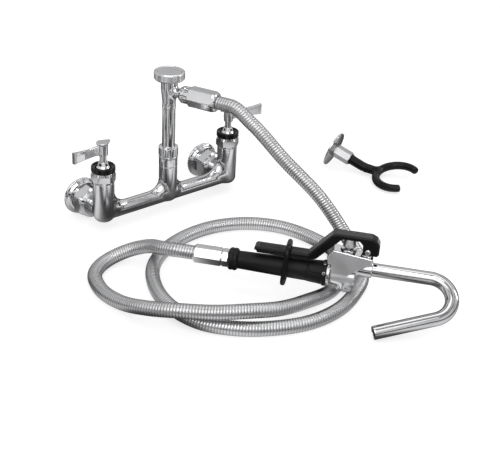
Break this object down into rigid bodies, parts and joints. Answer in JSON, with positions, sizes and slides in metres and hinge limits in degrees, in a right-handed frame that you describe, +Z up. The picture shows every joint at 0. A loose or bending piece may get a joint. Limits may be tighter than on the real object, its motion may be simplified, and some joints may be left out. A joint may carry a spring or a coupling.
{
  "type": "pot filler",
  "caption": "Wall-mounted pot filler: mixing valve with lever handles, riser, ribbed metal hose, squeeze valve, hook nozzle and wall hook.",
  "frame": {"origin": "midway between the two wall inlets, on the wall plane at the inlets' height", "axes": "+X towards the right-hand valve, +Y into the wall, +Z up"},
  "size_m": [0.5616, 0.4857, 0.1989],
  "materials": {
    "chrome": "polished chrome plate over brass",
    "satin_metal": "satin chrome plate over brass",
    "hose_steel": "interlocked stainless steel hose, semi-bright",
    "steel": "plain stainless steel",
    "brass": "machined brass",
    "black_plastic": "satin black plastic",
    "grip_rubber": "satin black rubber sleeve",
    "black_coating": "black plastic-coated metal, satin",
    "seal_rubber": "black seal rubber",
    "ceramic": "white ceramic",
    "white_plastic": "white plastic"
  },
  "bodies": {
    "base": {"mixing_body": "chrome", "inlet_flange_left": "chrome", "inlet_flange_right": "chrome", "coupling_nut_left": "chrome", "coupling_nut_right": "chrome", "inlet_washer_left": "seal_rubber", "inlet_washer_right": "seal_rubber", "inlet_shank_left": "brass", "inlet_shank_right": "brass", "bonnet_nut_left": "chrome", "bonnet_nut_right": "chrome", "index_ring_left": "black_plastic", "index_ring_right": "black_plastic", "cartridge_left": "chrome", "cartridge_right": "chrome", "fixed_disc_left": "ceramic", "fixed_disc_right": "ceramic", "riser_collar": "chrome", "riser_tube": "chrome", "breaker_body": "chrome", "breaker_cap": "chrome", "breaker_plate": "satin_metal", "outlet_adapter": "chrome", "upper_washer": "seal_rubber", "upper_hose_nut": "chrome", "hose": "hose_steel", "lower_hose_nut": "chrome", "lower_washer": "seal_rubber", "grip_adapter": "chrome", "grip_end_ring": "black_plastic", "grip_tube": "chrome", "grip": "grip_rubber", "front_collar": "black_plastic", "collar_screw_upper": "chrome", "collar_screw_lower": "chrome", "body_ring": "chrome", "valve_body": "satin_metal", "valve_bonnet": "chrome", "valve_spring": "steel", "bottom_cap": "chrome", "lever_pin": "chrome", "hook_nozzle": "chrome", "wall_hook_flange": "chrome", "wall_hook_stem": "chrome", "wall_hook_fork": "black_coating"},
    "hot_handle": {"moving_disc_left": "ceramic", "stem_left": "satin_metal", "handle_left": "chrome", "handle_screw_left": "steel"},
    "cold_handle": {"moving_disc_right": "ceramic", "stem_right": "satin_metal", "handle_right": "chrome", "handle_screw_right": "steel"},
    "lever": {"squeeze_lever": "black_coating"},
    "plunger_set": {"plunger": "satin_metal", "seat_washer": "seal_rubber"},
    "keeper": {"hold_ring": "black_coating"},
    "float": {"breaker_float": "white_plastic", "breaker_seal": "seal_rubber"}
  },
  "joints": [
    {"name": "hot_handle_turn", "type": "hinge", "parent": "base", "child": "hot_handle", "pos_m": [-0.1016, -0.058, 0.09], "axis": [0, 0, 1], "range_deg": [0, 90]},
    {"name": "cold_handle_turn", "type": "hinge", "parent": "base", "child": "cold_handle", "pos_m": [0.1016, -0.058, 0.09], "axis": [0, 0, 1], "range_deg": [-90, 0]},
    {"name": "lever_squeeze", "type": "hinge", "parent": "base", "child": "lever", "pos_m": [0.05156, -0.37883, 0.04691], "axis": [-0.7607, -0.6407, 0.1045], "range_deg": [0, 3.2], "stiffness_Nm_per_rad": 4, "springref_deg": -5.73},
    {"name": "plunger_press", "type": "slide", "parent": "base", "child": "plunger_set", "axis": [-0.0912, -0.0539, -0.9944], "range_m": [0, 0.0013], "deforming": ["valve_spring"]},
    {"name": "keeper_slide", "type": "slide", "parent": "base", "child": "keeper", "axis": [0.6427, -0.7659, -0.0175], "range_m": [-0.03, 0.014]},
    {"name": "float_lift", "type": "slide", "parent": "base", "child": "float", "axis": [0, 0, 1], "range_m": [0, 0.004]}
  ],
  "couplings": [
    {"joint": "plunger_press", "follows": "lever_squeeze", "m_per_rad": 0.022}
  ]
}
